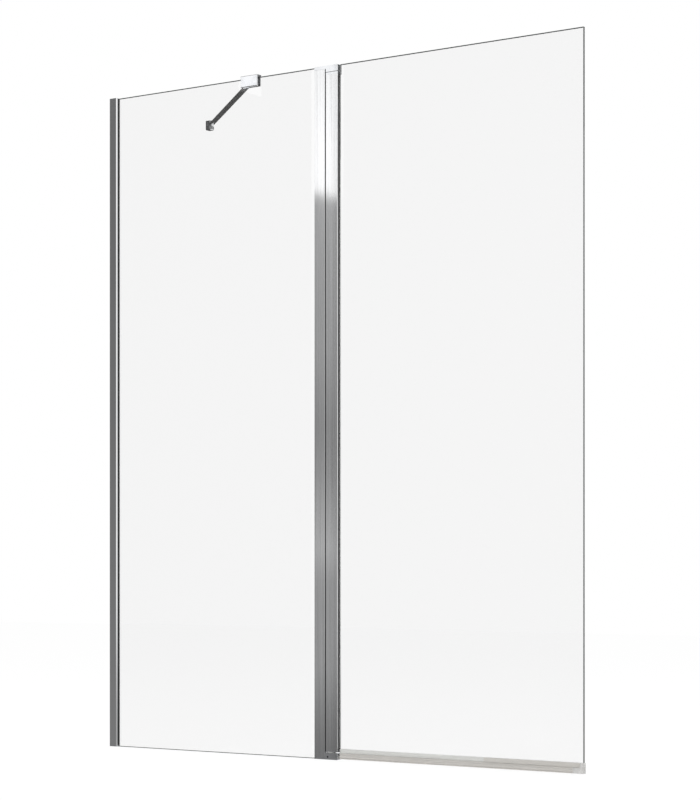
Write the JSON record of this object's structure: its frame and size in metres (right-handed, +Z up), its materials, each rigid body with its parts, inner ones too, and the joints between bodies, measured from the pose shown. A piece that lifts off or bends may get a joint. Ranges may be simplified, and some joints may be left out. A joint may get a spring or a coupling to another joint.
{
  "type": "bath screen",
  "caption": "Bath screen: a fixed glass panel on a wall profile, a glass door on a profile hinge with a drip seal along its bottom edge, and a stabiliser arm from the panel's top to the wall.",
  "frame": {"origin": "on the wall face, in the middle plane of the glass, at the bottom edge of the screen", "axes": "+X along the screen away from the wall, +Y into the bath, +Z up"},
  "size_m": [1.251, 0.3745, 1.5082],
  "materials": {
    "polished_aluminium": "bright polished and anodised",
    "chrome_plate": "chrome plated, mirror bright",
    "stainless_steel": "turned, bright",
    "clear_glass": "clear toughened glass with polished edges",
    "clear_seal": "clear extruded soft plastic",
    "strip_plastic": "smooth grey plastic",
    "clear_pad": "soft translucent pad",
    "dark_gasket": "matt extruded gasket",
    "white_plastic": "smooth low-friction plastic"
  },
  "bodies": {
    "fixed_panel": {"wall_profile": "polished_aluminium", "glass_profile": "polished_aluminium", "wall_gasket_front": "dark_gasket", "wall_gasket_back": "clear_seal", "wall_top_cap": "chrome_plate", "wall_bottom_cap": "chrome_plate", "adjusting_screws": "stainless_steel", "screw_covers": "chrome_plate", "glass_packers": "white_plastic", "fixed_glass": "clear_glass", "fixed_hinge_profile": "polished_aluminium", "fixed_hinge_gasket_front": "dark_gasket", "fixed_hinge_gasket_back": "clear_seal", "fixed_hinge_top_cap": "chrome_plate", "fixed_hinge_bottom_cap": "chrome_plate", "hinge_seal": "dark_gasket", "top_pivot_block": "chrome_plate", "bottom_pivot_block": "chrome_plate", "top_block_screw": "stainless_steel", "bottom_block_screw": "stainless_steel", "top_pivot_pin": "stainless_steel", "bottom_pivot_pin": "stainless_steel", "thrust_washer": "white_plastic", "pin_retaining_screw": "stainless_steel", "clamp_body": "chrome_plate", "clamp_pad_front": "clear_pad", "clamp_pad_back": "clear_pad", "clamp_screws": "stainless_steel", "arm_pivot_pin": "chrome_plate"},
    "door": {"door_hinge_profile": "polished_aluminium", "door_gasket_front": "dark_gasket", "door_gasket_back": "clear_seal", "door_top_cap": "chrome_plate", "door_bottom_cap": "chrome_plate", "top_bush": "white_plastic", "bottom_bush": "white_plastic", "door_glass": "clear_glass", "bottom_seal": "clear_seal", "seal_end_piece": "clear_seal", "seal_cover_strip": "strip_plastic"},
    "arm": {"stabiliser_arm": "polished_aluminium"},
    "bracket": {"wall_bracket": "chrome_plate", "wall_bracket_pin": "stainless_steel"}
  },
  "joints": [
    {"name": "door_hinge", "type": "hinge", "parent": "fixed_panel", "child": "door", "pos_m": [0.628, 0, 0.75], "axis": [0, 0, 1], "range_deg": [0, 90]},
    {"name": "arm_swivel", "type": "hinge", "parent": "fixed_panel", "child": "arm", "pos_m": [0.403, 0.013, 1.497], "axis": [0, 0, -1], "range_deg": [0, 45]},
    {"name": "bracket_swivel", "type": "hinge", "parent": "arm", "child": "bracket", "pos_m": [0.009, 0.357, 1.497], "axis": [0, 0, 1], "range_deg": [-40, 40]}
  ]
}
